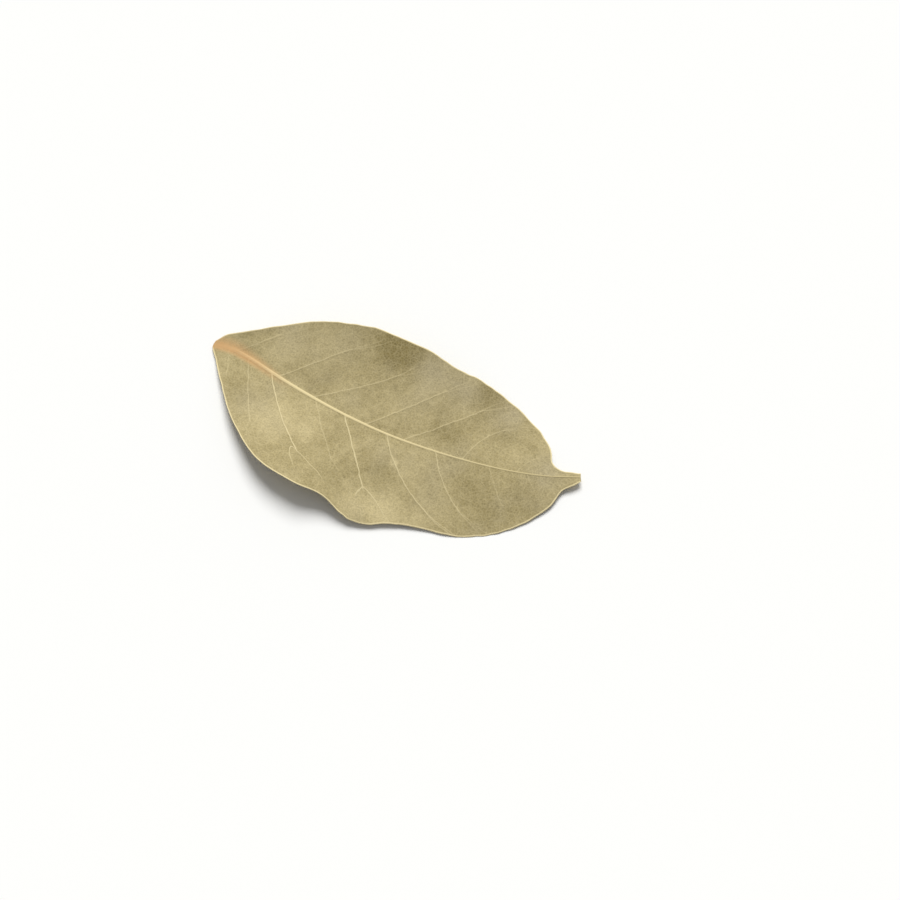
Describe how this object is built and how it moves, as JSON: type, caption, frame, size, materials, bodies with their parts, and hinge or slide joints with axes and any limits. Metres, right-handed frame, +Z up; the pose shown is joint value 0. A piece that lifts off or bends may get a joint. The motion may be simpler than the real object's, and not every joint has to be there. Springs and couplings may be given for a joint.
{
  "type": "dried bay leaf",
  "caption": "Single dried bay leaf lying with its matt, veined underside up, gently cupped and wavy along the margins.",
  "frame": {"origin": "middle of the bounding box, on the surface that the leaf lies on", "axes": "+X from the leaf's base to its tip, +Y to the left of the midrib seen from above, +Z up, away from the surface"},
  "size_m": [0.0806, 0.0404, 0.0054],
  "materials": {
    "leaf": "matt dry leaf, grey-olive, with pale straw veins and margin"
  },
  "bodies": {
    "root": {"bay_leaf": "leaf"}
  },
  "joints": []
}
